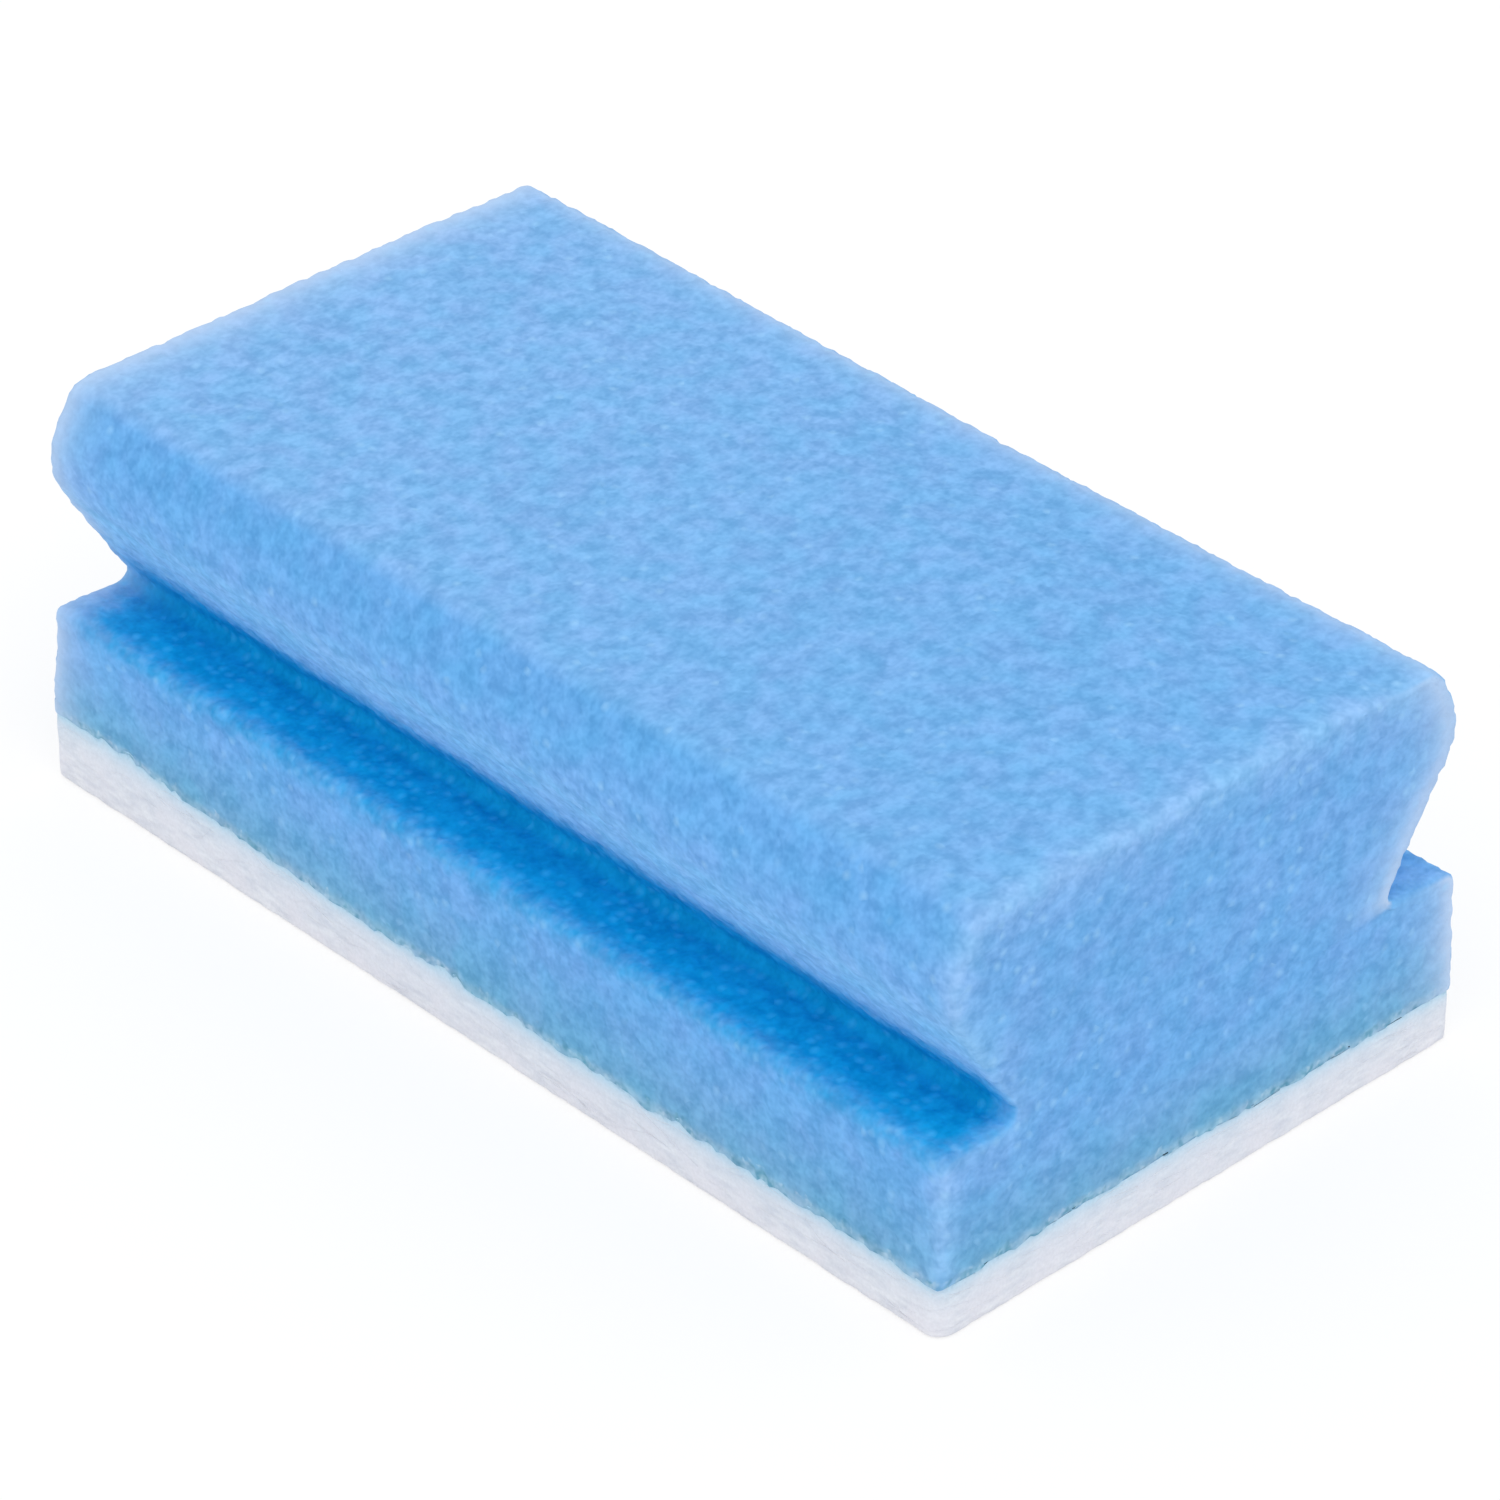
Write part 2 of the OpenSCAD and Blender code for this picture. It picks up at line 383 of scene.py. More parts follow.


# Open-cell foam: the hue follows the lie of the surface in painted light and shade, drifts
# slowly, and is mottled by the cells. Multiplying by a dark or a light tint shades the red more
# than the blue. Painted light and shade: faces lighter or darker by which way they look, the top
# lighter towards the far end, shade towards the fleece, deep blue shade in the grooves, pale
# bands of light along the cut and thin edges, and glints on some of the cells.
def foamMaterial():
    tree = NodeTree("skyBlueFoam")
    looks = foamLooks
    up = tree.stored("up")
    drawn = tree.drawnOut(looks["grain"], looks["grainStretch"])
    mottle = tree.spread(tree.noise(looks["mottleSize"], 2.0, 0.85, drawn), 0.34, 0.66)
    fine = tree.noise(looks["fineSize"], 1.0, vector=drawn)
    # painted light and shade: the foam is lighter or darker by which way each face looks, and the top
    # lighter towards the far end
    top = tree.mix(tree.stored("along"), looks["topFar"], looks["topNear"])
    colour = tree.mix(tree.stored("onBase"), looks["side"], looks["base"])
    colour = tree.mix(tree.stored("onEnd"), colour, looks["end"])
    colour = tree.mix(tree.spread(up, *looks["underFaces"]), colour, looks["underLip"])
    colour = tree.mix(tree.spread(up, *looks["foldFaces"]), colour, looks["lipFold"])
    colour = tree.mix(tree.spread(up, *looks["browFaces"]), colour, looks["brow"])
    colour = tree.mix(tree.spread(up, *looks["topFaces"]), colour, top)
    # painted shade, deeper towards the fleece
    colour = tree.mix(tree.stored("seamTint"), colour, looks["seamTint"])
    colour = tree.mix(tree.stored("seamLine"), colour, looks["seamLine"])
    # painted light: a pale band along the cut edges
    colour = tree.mix(tree.stored("cutEdge"), colour, looks["cutEdge"])
    colour = seamTeeth(tree, colour)
    hue = tree.spread(tree.noise(looks["hueSize"], 1.0), 0.35, 0.65)
    colour = tree.mix(1.0, colour, tree.mix(hue, looks["cyan"], looks["lavender"]), "MULTIPLY")
    cell = tree.spread(tree.cells(looks["cellSize"]), 0.05, 0.8, 0.0, 0.12)
    shade = tree.sums("MULTIPLY", mottle, 0.76)
    shade = tree.sums("ADD", tree.sums("ADD", shade, cell), tree.spread(fine, 0.3, 0.7, 0.0, 0.12))
    colour = tree.mix(1.0, colour, tree.mix(shade, looks["shadeDark"], looks["shadeLight"]), "MULTIPLY")
    # painted shade: deep blue in the grooves, for light that has gone from wall to wall
    groove = mottledEdge(tree, tree.stored("groove"))
    colour = tree.mix(groove, colour, tree.mix(mottle, looks["deepBlue"], looks["litBlue"]))
    # painted light from behind along the thin edges
    colour = tree.mix(tree.stored("thinEdge"), colour, looks["thinEdge"])
    # painted glints: soft pale dots on a share of the cells
    dots = tree.dots(looks["glintSize"], tree.stored("glints"))
    glint = tree.sums("MULTIPLY", dots, tree.spread(groove, 0.0, 1.0, *looks["glintWeight"]))
    colour = tree.mix(glint, colour, tree.mix(groove, looks["glint"], looks["grooveGlint"]))
    tree.plug(tree.shader.inputs["Base Color"], colour)
    tree.plug(tree.shader.inputs["Roughness"], 0.95)
    tree.plug(tree.shader.inputs["Specular IOR Level"], 0.03)
    height = tree.sums("ADD", shade, tree.sums("MULTIPLY", fine, 0.5))
    bump = {"Strength": looks["bump"], "Distance": looks["bumpDepth"], "Height": height}
    tree.plug(tree.shader.inputs["Normal"], tree.add("ShaderNodeBump", "Normal", bump))
    return tree.material


# The seam in the foam's colour: pale tufts and dark cells, most at the fleece, in the places
# where a noise exceeds a level that climbs with the height above the seam
def seamTeeth(tree, colour):
    height = tree.stored("aboveSeam")
    size = foamLooks["toothSize"]
    tufts = tree.sums("SUBTRACT", tree.noise(size, 1.0), tree.sums("MULTIPLY", height, 0.15))
    darkCells = tree.sums("SUBTRACT", tree.noise(size * 1.5, 1.0), tree.sums("MULTIPLY", height, 0.20))
    colour = tree.mix(tree.spread(darkCells, 0.42, 0.62, 0.0, 0.75), colour, foamLooks["seamDark"])
    return tree.mix(tree.spread(tufts, 0.48, 0.70, 0.0, 0.60), colour, foamLooks["seamPale"])


# A mask whose edge is broken up: noise is added to it where it is neither 0 nor 1
def mottledEdge(tree, mask):
    edge = tree.sums("MULTIPLY", mask, tree.sums("SUBTRACT", 1.0, mask))
    patches = tree.spread(tree.noise(foamLooks["cellSize"] * 1.4, 2.0), 0.3, 0.7, -0.9, 0.9)
    return tree.sums("ADD", mask, tree.sums("MULTIPLY", edge, patches))


foam = {
    "baseDepth": 14.2 * mm,
    "grooveDepth": 10.4 * mm,
    "lipDrop": 8 * mm,
    "lipRadius": 8 * mm,
    "lipInset": 0.7 * mm,
    "crownInset": 4.1 * mm,
    "crownRadius": 3 * mm,
    "shelfRadius": 1.4 * mm,
    "rootRadius": 1.2 * mm,
    "endRadius": 0.8 * mm,        # rounding of the cut edges at the two ends
    "spacing": 0.56 * mm,         # of the points that carry the cells
    "cellSize": 1.35 * mm,
    "cellDepth": 0.27 * mm,
    "cellReach": 0.75,            # a cell rises up to this distance from its centre, in cells,
    "cellMean": 0.62,             # and this share of its depth is the mean
    "roughSize": 0.7 * mm,
    "rough": 0.35,                # in cell depths
    "cellsFrom": 0.5 * mm,        # above the seam, where the relief has its full depth
    "waveSize": 9 * mm,           # slow unevenness of the cut
    "wave": 0.10 * mm,
    "crownSag": 1.25 * mm,        # how far the back edge of the head hangs down
    "lipLean": 0.35 * mm,         # how far the back lip leans in
    "shelfSag": 0.4 * mm,         # how far the back shelf hangs down at its outer edge
    "farShelfRise": 0.55 * mm,    # how far the outer edge of the shelf stands up at the far end
}


# Angle of the line from a point that touches a circle, on its right (-1) or left (1) side
def tangentAngle(point, centre, radius, side):
    reach = centre - point
    return np.arctan2(reach[1], reach[0]) + side * np.arcsin(radius / np.linalg.norm(reach))


# Right half of the section, from the seam over the head to the middle of its top: the
# underside of the head and the brow both touch the circle of the lip
def gripCorners():
    side = foamHigh[1]
    top = foamHigh[2]
    shelf = seam["height"] + foam["baseDepth"]
    root = np.array([side - foam["grooveDepth"], shelf])
    crown = np.array([side - foam["crownInset"], top])
    lipCentre = np.array([side - foam["lipInset"] - foam["lipRadius"], top - foam["lipDrop"]])
    under = tangentAngle(root, lipCentre, foam["lipRadius"], -1)
    brow = tangentAngle(crown, lipCentre, foam["lipRadius"], 1)
    u = np.array([np.cos(under), np.sin(under)])
    v = np.array([np.cos(brow), np.sin(brow)])
    gap = crown - root
    lip = root + u * (gap[0] * v[1] - gap[1] * v[0]) / (u[0] * v[1] - u[1] * v[0])
    return [
        (side, seam["height"], 0), (side, shelf, foam["shelfRadius"]), (*root, foam["rootRadius"]),
        (*lip, foam["lipRadius"]), (*crown, foam["crownRadius"]), (0, top, 0),
    ]


# The foam: its section is carried along the length, and near each end it shrinks along its
# normals by a quarter circle, which rounds the cut edge. Each end is closed by two grids,
# one for the base and one for the head.
def foamMesh():
    path, marks = roundedPath(gripCorners())
    keep = [0, marks[0][1], marks[1][0], marks[3][1], len(path) - 1]
    half, halfNormal, kept = evenSteps(path, keep, foam["spacing"])
    section = np.concatenate([half, half[-2::-1] * (-1, 1)])
    normal = np.concatenate([halfNormal, halfNormal[-2::-1] * (-1, 1)])
    radius = foam["endRadius"]
    angles = np.linspace(0, np.pi / 2, 4)
    reach = foamHigh[0] - radius
    inner = np.linspace(-reach, reach, round(2 * reach / foam["spacing"]) + 1)
    turn = radius * np.sin(angles[1:])
    stations = np.concatenate([-reach - turn[::-1], inner, reach + turn])
    shrink = radius * (1 - np.cos(angles))
    inset = np.concatenate([shrink[:0:-1], np.zeros(len(inner)), shrink[1:]])
    outline = section[None] - inset[:, None, None] * normal[None]
    along = np.broadcast_to(stations[:, None, None], outline.shape[:2] + (1,))
    skin = np.concatenate([along, outline], axis=2)
    skin[:, (0, -1), 2] = seam["height"]
    grids = [skin]
    shoulder, waist, crown = kept[1:4]
    edges = []
    for ring in (skin[0], skin[-1]):
        columns = len(ring) - 2 * crown
        middle = np.linspace(ring[waist], ring[-1 - waist], columns)
        beyond = ring[len(ring) - waist:len(ring) - shoulder]
        baseTop = np.concatenate([ring[shoulder:waist], middle, beyond])
        baseBottom = np.linspace(ring[0], ring[-1], len(baseTop))
        grids.append(edgePatch(baseBottom, baseTop, ring[:shoulder + 1], ring[::-1][:shoulder + 1]))
        headTop = ring[crown:len(ring) - crown]
        grids.append(edgePatch(middle, headTop, ring[waist:crown + 1], ring[::-1][waist:crown + 1]))
        edges.append(baseBottom)
    under, strips = hiddenFace(skin[:, 0], skin[:, -1], edges[0], edges[1])
    return joinedMesh("foam_grip_foam", grids + [under], strips)


# Where light gathers in the foam. Pairs are where a change starts and ends.
foamLight = {
    "grooveEdge": (-3.8 * mm, 3.9 * mm),      # in from the side: deep blue begins on the shelf
    "grooveRoof": (2.2 * mm, 8.0 * mm),       # above the shelf: it fades up the head's underside
    "roofPower": 1.3,
    "nearFade": (-1.5 * mm, 3.5 * mm),        # from an end: it fades towards the open air,
    "backFade": (0, 18 * mm),                 # more slowly behind,
    "farFade": (1.0 * mm, 6.2 * mm),          # and at the far end
    "farRoot": (4 * mm, 9 * mm),              # in from the side: where that begins earlier
    "farRootShift": 5 * mm,
    "flickerSize": 1.6 * mm,                  # unevenness of those distances
    "flicker": 0.5 * mm,
    "rimReach": 1.5 * mm,                     # width of the pale band along a cut edge,
    "endReach": 0.4 * mm,                     # more on the ends,
    "topReach": 0.4 * mm,                     # and more on the top
    "topHeight": (36 * mm, 44 * mm),
    "hollowRim": (0.6, 0.55),                 # in a groove, cut and thin edges lose this share
    "glints": (0.09, 0.32, 1.1),              # share of cells: anywhere, in a groove, on its edge
    "seamTintHeight": 12.5 * mm,
    "seamTintPower": 1.4,
    "seamLineHeight": 1.4 * mm,
    # light from behind: strength at the edge, and the distance over which it falls to 1/e
    "farLight": (1.2, 2.3 * mm),
    "backLight": (1.2, 2.3 * mm),
    "backLightHead": 0.6 * mm,                # it reaches this much further in the head
    "crownLight": (0.68, 1.4 * mm),
    "crownInset": 4.35 * mm,                  # of the line along the head's back edge
    "behindShare": 0.4,                       # of the far end's light, on the back long side
    "most": (0.90, 0.68),                     # in the base and in the head
}


# Numbers that the foam's material reads, from each point's place on the smooth shape. Most of
# them place painted light and shade. up: which way the surface faces, for the light and shade
# painted on each face. along: place along the length, for the top painted lighter towards the
# far end. onBase: 1 on the long sides under the grooves. groove: how deep the point lies in a
# finger groove, where deep blue shade is painted, a product of S-curves of the distances in from
# the side, up from the shelf and from the ends. glints: the share of cells that get painted
# glints, as cells that catch the light. cutEdge: how near it is to the edge where the section was
# cut, an exponential of the distance, for a pale band of painted light. thinEdge: painted light
# from behind. seamTint, seamLine and aboveSeam: how near it is to the fleece; seamTint carries
# painted shade.
def markFoam(mesh, points, normals):
    light = foamLight
    x, z = points[:, 0], points[:, 2]
    shelf = seam["height"] + foam["baseDepth"]
    onEnd = np.abs(normals[:, 0]) > 0.7
    fromEnd = foamHigh[0] - np.abs(x)
    inward = foamHigh[1] - np.abs(points[:, 1])
    # over the rounded shoulder of the shelf, then up the underside of the head
    onShelf = smoothStep(*light["grooveEdge"], inward - np.clip(shelf - z, 0, None))
    groove = onShelf * (1 - smoothStep(*light["grooveRoof"], z - shelf)) ** light["roofPower"]
    toAir = fromEnd + latticeNoise(points, light["flickerSize"], 21) * light["flicker"]
    nearFade = smoothStep(*light["nearFade"], toAir)
    farStart = light["farFade"][0] - light["farRootShift"] * smoothStep(*light["farRoot"], inward)
    farFade = smoothStep(farStart, light["farFade"][1], toAir)
    backFade = smoothStep(*light["backFade"], toAir)
    groove *= np.where(x > 0, np.where(points[:, 1] > 0, backFade, nearFade), farFade)
    groove *= ~onEnd
    # distance to the sharp edge: along the length on the skin, across the section on an end
    toEdge = np.where(onEnd, sectionDepth(points[:, 1:]), fromEnd)
    inHollow = onShelf * (z < shelf + light["grooveRoof"][1])
    onTop = smoothStep(*light["topHeight"], z)
    rimReach = light["rimReach"] + light["endReach"] * onEnd + light["topReach"] * onTop
    cutShare, thinShare = light["hollowRim"]
    thinEdge = backlight(points, fromEnd, onEnd) * (1 - thinShare * inHollow * ~onEnd)
    cutEdge = np.exp(-np.clip(toEdge, 0, None) / rimReach) * (1 - thinEdge)
    height = z - seam["height"]
    anywhere, inside, onEdge = light["glints"]
    extra = inside * groove + onEdge * onShelf * (1 - onShelf)
    seamTint = np.clip(1 - height / light["seamTintHeight"], 0, 1) ** light["seamTintPower"]
    storeValue(mesh, "onEnd", onEnd)
    storeValue(mesh, "up", normals[:, 2])
    storeValue(mesh, "along", smoothStep(foamLow[0], foamHigh[0], x))
    storeValue(mesh, "onBase", (1 - smoothStep(shelf - 2 * mm, shelf + 1 * mm, z)) * ~onEnd)
    storeValue(mesh, "groove", groove)
    storeValue(mesh, "thinEdge", thinEdge)
    storeValue(mesh, "glints", anywhere + extra * (groove > 0.02))
    storeValue(mesh, "cutEdge", cutEdge * (1 - groove) * (1 - cutShare * inHollow))
    storeValue(mesh, "seamTint", seamTint)
    storeValue(mesh, "seamLine", 1 - smoothStep(0, light["seamLineHeight"], height))
    storeValue(mesh, "aboveSeam", height / mm)


# How much light from behind comes through the foam near its far end and its back. It falls
# off exponentially with the distance from the edge of the far end, on the near end from the
# back outline, and behind the head from its upper edge. The thin base lets more through.
def backlight(points, fromEnd, onEnd):
    light = foamLight
    x, y, z = points.T
    half = evenSteps(roundedPath(gripCorners())[0], [0, -1], 0.1 * mm)[0]
    fromBack = np.interp(z, half[:, 1], half[:, 0]) - y
    fromCrown = np.hypot(y - foamHigh[1] + light["crownInset"], z - foamHigh[2])

    def falling(distance, strength, reach):
        return strength * np.exp(-np.clip(distance, 0, None) / reach)

    far = falling(fromEnd + 0.3 * mm, *light["farLight"]) * (x < 0)
    far *= 1 - (1 - light["behindShare"]) * smoothStep(30 * mm, 32 * mm, y)
    strength, reach = light["backLight"]
    reach = reach + light["backLightHead"] * smoothStep(20 * mm, 30 * mm, z)
    back = falling(fromBack, strength, reach) * (x > 0)
    crown = falling(fromCrown, *light["crownLight"]) * (y > 0)
    mostBase, mostHead = light["most"]
    most = mostHead + (mostBase - mostHead) * (1 - smoothStep(18 * mm, 26 * mm, z))
    return np.clip(np.where(onEnd, back, np.maximum(far, crown)), 0, most)


# Where the foam gives way. Pairs are where a change starts and ends.
give = {
    "toBack": (10 * mm, 30 * mm),         # across, from the middle of the head to its back
    "toTop": (26 * mm, 44 * mm),          # up, from the lips to the top
    "farShare": 0.32,                     # of the back edge's sag, at the far end,
    "farRun": (-62 * mm, 5 * mm),         # and it grows to all of it along this
    "lipBelow": (22 * mm, 32 * mm),       # up: the back lip leans in from the first on,
    "lipAbove": (39 * mm, 45 * mm),       # and no more above the second
    "toShelfEdge": (27 * mm, 34 * mm),    # out from the middle
    "shelfBelow": (14 * mm, 19 * mm),     # up: the shelf's edge moves between these
    "shelfAbove": (21 * mm, 24 * mm),
    "farShelf": (-65 * mm, -45 * mm),     # along: its rise at the far end
}


# The soft foam's own give, added to its points: the back edge of the head hangs down, less so
# at the far end, the back lip leans in, and the shelf's outer edge sags behind and stands up
# at the far end. Each is its depth times S-curves of the place across, up and along.
def settleFoam(points):
    x, y, z = points.T.copy()
    toBack = smoothStep(*give["toBack"], y)
    along = give["farShare"] + (1 - give["farShare"]) * smoothStep(*give["farRun"], x)
    points[:, 2] -= foam["crownSag"] * toBack * smoothStep(*give["toTop"], z) * along
    onLip = smoothStep(*give["lipBelow"], z) * (1 - smoothStep(*give["lipAbove"], z))
    points[:, 1] -= foam["lipLean"] * toBack * onLip
    outer = smoothStep(*give["toShelfEdge"], np.abs(y)) * smoothStep(*give["shelfBelow"], z)
    outer *= 1 - smoothStep(*give["shelfAbove"], z)
    points[:, 2] -= foam["shelfSag"] * outer * (y > 0)
    farEnd = 1 - smoothStep(*give["farShelf"], x)
    points[:, 2] += foam["farShelfRise"] * outer * (y < 0) * farEnd


# The foam piece. Each point of the smooth shape moves along its normal by the depth of the
# cells times the distance to the nearest cell centre, less its mean, with some rough noise,
# and by a slow wave. At the seam this fades out, and the outermost points hang down a little.
def buildFoam():
    mesh = foamMesh()
    points = readVectors(mesh.vertices, "co")
    normals = readVectors(mesh.vertex_normals, "vector")
    markFoam(mesh, points, normals)
    lift = seamLift(points, 12 * mm, 1.5 * mm)
    aboveSeam = points[:, 2] - seam["height"]
    away = cellDistances(points, foam["cellSize"], 31) / foam["cellReach"]
    cell = np.clip(away, 0, 1) - foam["cellMean"]
    rough = latticeNoise(points, foam["roughSize"], 32) * foam["rough"]
    wave = latticeNoise(points, foam["waveSize"], 33) * foam["wave"]
    height = foam["cellDepth"] * (cell + rough) + wave
    shown = np.clip(aboveSeam / foam["cellsFrom"], 0, 1)
    onRim = np.max(np.abs(points[:, :2]) / foamHigh[:2], axis=1) > 0.96
    settleFoam(points)
    standProud(points)
    points += normals * (height * shown)[:, None]
    points[:, 2] += lift - seam["overlap"] * onRim * np.clip(1 - aboveSeam / (1.0 * mm), 0, 1)
    mesh.vertices.foreach_set("co", points.ravel())
    mesh.update()
    mesh.calc_loop_triangles()
    piece = addPiece("foam_grip_foam", mesh, foamMaterial())
    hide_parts("foam_grip")
    return piece


# Distance from points inside the section to its outline, by the nearest of its even steps
def sectionDepth(places):
    half = evenSteps(roundedPath(gripCorners())[0], [0, -1], 0.4 * mm)[0]
    folded = np.abs(places[:, 0])
    depth = np.full(len(places), 1.0)
    for across, up in half:
        depth = np.minimum(depth, (folded - across) ** 2 + (places[:, 1] - up) ** 2)
    return np.sqrt(depth)


fleeceLooks = {
    "white": rgb(0.840, 0.845, 0.888),
    "shade": rgb(0.705, 0.715, 0.782),
    "warm": rgb(0.818, 0.802, 0.856),
    "blueTint": rgb(0.420, 0.690, 0.870),     # blue light from the foam, under the seam
    "seamStain": rgb(0.300, 0.500, 0.660),    # cells of the foam that reach into the fleece
    "fibre": rgb(0.848, 0.856, 0.918),
    "streakSize": 0.7 * mm,
    "layers": (0.3, 0.3, 1.0),                # the streaks are 1/0.3 times as long as they are high
    "grainSize": 0.35 * mm,
    "toothSize": 0.8 * mm,
    "bump": 0.08,
    "bumpDepth": 0.2 * mm,
}


# Scouring fleece: off-white with a faint cold cast, in thin layers that run along the pad, with
# painted blue light from the foam under the seam, and stained blue under the seam, where a noise
# exceeds a level that climbs with the depth
def fleeceMaterial():
    tree = NodeTree("offWhiteFleece")
    looks = fleeceLooks
    layers = tree.add("ShaderNodeMapping", "Vector", {"Vector": tree.place(), "Scale": looks["layers"]})
    streak = tree.noise(looks["streakSize"], 2.0, vector=layers)
    grain = tree.noise(looks["grainSize"], 2.0)
    colour = tree.mix(tree.spread(streak, 0.3, 0.7), looks["shade"], looks["white"])
    colour = tree.mix(tree.spread(tree.noise(4 * mm), 0.4, 0.6, 0.0, 0.7), colour, looks["warm"])
    colour = tree.mix(tree.stored("underSeam"), colour, looks["blueTint"])
    stain = tree.sums("SUBTRACT", tree.noise(looks["toothSize"], 2.0), tree.stored("belowSeam"))
    colour = tree.mix(tree.spread(stain, 0.42, 0.66, 0.0, 0.6), colour, looks["seamStain"])
    colour = tree.mix(1.0, colour, tree.spread(grain, 0.3, 0.7, 0.965, 1.035), "MULTIPLY")
    tree.plug(tree.shader.inputs["Base Color"], colour)
    tree.plug(tree.shader.inputs["Roughness"], 0.9)
    tree.plug(tree.shader.inputs["Specular IOR Level"], 0.1)
    height = tree.sums("ADD", streak, grain)
    bump = {"Strength": looks["bump"], "Distance": looks["bumpDepth"], "Height": height}
    tree.plug(tree.shader.inputs["Normal"], tree.add("ShaderNodeBump", "Normal", bump))
    return tree.material


# The loose fibres have the same white, a little lighter and silkier
def fibreMaterial():
    tree = NodeTree("looseFibre")
    tone = tree.spread(tree.noise(2 * mm), 0.3, 0.7, 0.92, 1.04)
    tree.plug(tree.shader.inputs["Base Color"], tree.mix(1.0, fleeceLooks["fibre"], tone, "MULTIPLY"))
    tree.plug(tree.shader.inputs["Roughness"], 0.6)
    tree.plug(tree.shader.inputs["Specular IOR Level"], 0.25)
    return tree.material


fleece = {
    "frontRadius": 2.0 * mm,      # upright corner between the front and the near end
    "cornerRadius": 1.0 * mm,     # the other three
    "edgeRadius": 0.4 * mm,       # lower edges
    "spacing": 0.46 * mm,
    "layerDepth": 0.03 * mm,
    "fluff": 0.06 * mm,
    "recess": 0.14 * mm,          # the felt underneath is drawn up this much, over the fibres
    # blue light from the foam: strength at the seam, and the depth over which it falls to 1/e
    "glow": ((0.80, 0.8 * mm), (0.24, 3 * mm)),
}


# The plan of the fleece, from the middle of its left front corner once round
def fleecePlan(spacing):
    x, y = fleeceHigh[:2]
    radius = fleece["cornerRadius"]
    corners = [
        (-x, 0, 0), (-x, -y, radius), (x, -y, fleece["frontRadius"]),
        (x, y, radius), (-x, y, radius), (-x, 0, 0),
    ]
    path, marks = roundedPath(corners)
    first = marks[0][1]
    turned = np.concatenate([path[first:-1], path[:first + 1]])
    keep = [mark[1] - first for mark in marks] + [len(turned) - 1]
    counts = 2 * np.round(fleeceHigh[:2] / spacing).astype(int)
    plan, normal, kept = evenSteps(turned, keep, spacing, list(counts) * 2)
    normal[[0, -1]] = unit(normal[0] + normal[-1])   # the path ends where it starts
    return plan, normal, kept


# Side of the fleece from the seam down and round its lower edge: (inset, height) pairs
def fleeceSide(spacing):
    radius = fleece["edgeRadius"]
    straight = np.linspace(seam["height"], radius, round((seam["height"] - radius) / spacing) + 1)[:-1]
    angles = np.linspace(0, np.pi / 2, 4)
    inset = np.concatenate([np.zeros(len(straight)), radius * (1 - np.cos(angles))])
    height = np.concatenate([straight, radius * (1 - np.sin(angles))])
    return inset, height


# The fleece: its side profile is carried round its plan, a grid closes the underside and a
# coarse face closes the seam
def fleeceMesh():
    plan, normal, kept = fleecePlan(fleece["spacing"])
    inset, height = fleeceSide(fleece["spacing"])
    flat = plan[None] - inset[:, None, None] * normal[None]
    up = np.broadcast_to(height[:, None, None], flat.shape[:2] + (1,))
    skin = np.concatenate([flat, up], axis=2)
    low, high = skin[-1], skin[0]
    front, right, back, left = (slice(kept[i], kept[i + 1] + 1) for i in range(4))
    underside = edgePatch(low[front], low[back][::-1], low[left][::-1], low[right])
    top, strips = hiddenFace(high[front], high[back][::-1], high[left][::-1], high[right])
    return joinedMesh("fleece_pad_felt", [skin, underside, top], strips)


# The fleece piece. Each point moves along its normal by the noise of the layers and of the
# fluff, and the rim is drawn in and stands up behind the foam's last cells.
def buildFleece():
    mesh = fleeceMesh()
    points = readVectors(mesh.vertices, "co")
    normals = readVectors(mesh.vertex_normals, "vector")
    depth = seam["height"] - points[:, 2]
    glow = sum(strength * np.exp(-depth / reach) for strength, reach in fleece["glow"])
    storeValue(mesh, "underSeam", np.clip(glow, 0, 1))
    storeValue(mesh, "belowSeam", 0.4 * depth / mm)
    lift = seamLift(points, seam["height"], 1.0 * mm)
    layers = latticeNoise(points * fleeceLooks["layers"], 0.7 * mm, 41) * fleece["layerDepth"]
    fluff = latticeNoise(points, 0.9 * mm, 42) * fleece["fluff"]
    shown = np.clip(depth / (0.2 * mm), 0, 1)
    rim = 1 - smoothStep(0, 0.9 * mm, depth)
    # the felt is drawn up over the fibres, away from the lower edges
    fromRim = np.min(fleeceHigh[:2] - np.abs(points[:, :2]), axis=1)
    below = (points[:, 2] < 0.1 * mm) * smoothStep(0.5 * mm, 3 * mm, fromRim)
    standProud(points)
    points[:, :2] *= 1 - rim[:, None] * seam["rimInset"] / fleeceHigh[:2]
    points += normals * ((layers + fluff - 0.05 * mm) * shown)[:, None]
    rise = lift + fleece["recess"] * below + seam["rimReach"] * (depth < 0.01 * mm)
    points[:, 2] = np.clip(points[:, 2] + rise, 0.03 * mm, None)
    mesh.vertices.foreach_set("co", points.ravel())
    mesh.update()
    mesh.calc_loop_triangles()
    piece = addPiece("fleece_pad_felt", mesh, fleeceMaterial())
    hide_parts("fleece_pad")
    return piece


fibres = {
    "sideCount": 240,
    "baseCount": 4000,
    "steps": 6,               # pieces that a fibre is bent into
    "radius": 0.018 * mm,
    "length": (3 * mm, 9 * mm),
    "rise": 0.16,             # how far the runs on the sides tilt up or down, in radians
    "bow": 0.9 * mm,          # how far a fibre bends sideways
    "proud": 0.04 * mm,       # height of the middle of a fibre over the felt
    "tuck": 0.16 * mm,        # depth of its ends in the felt
}


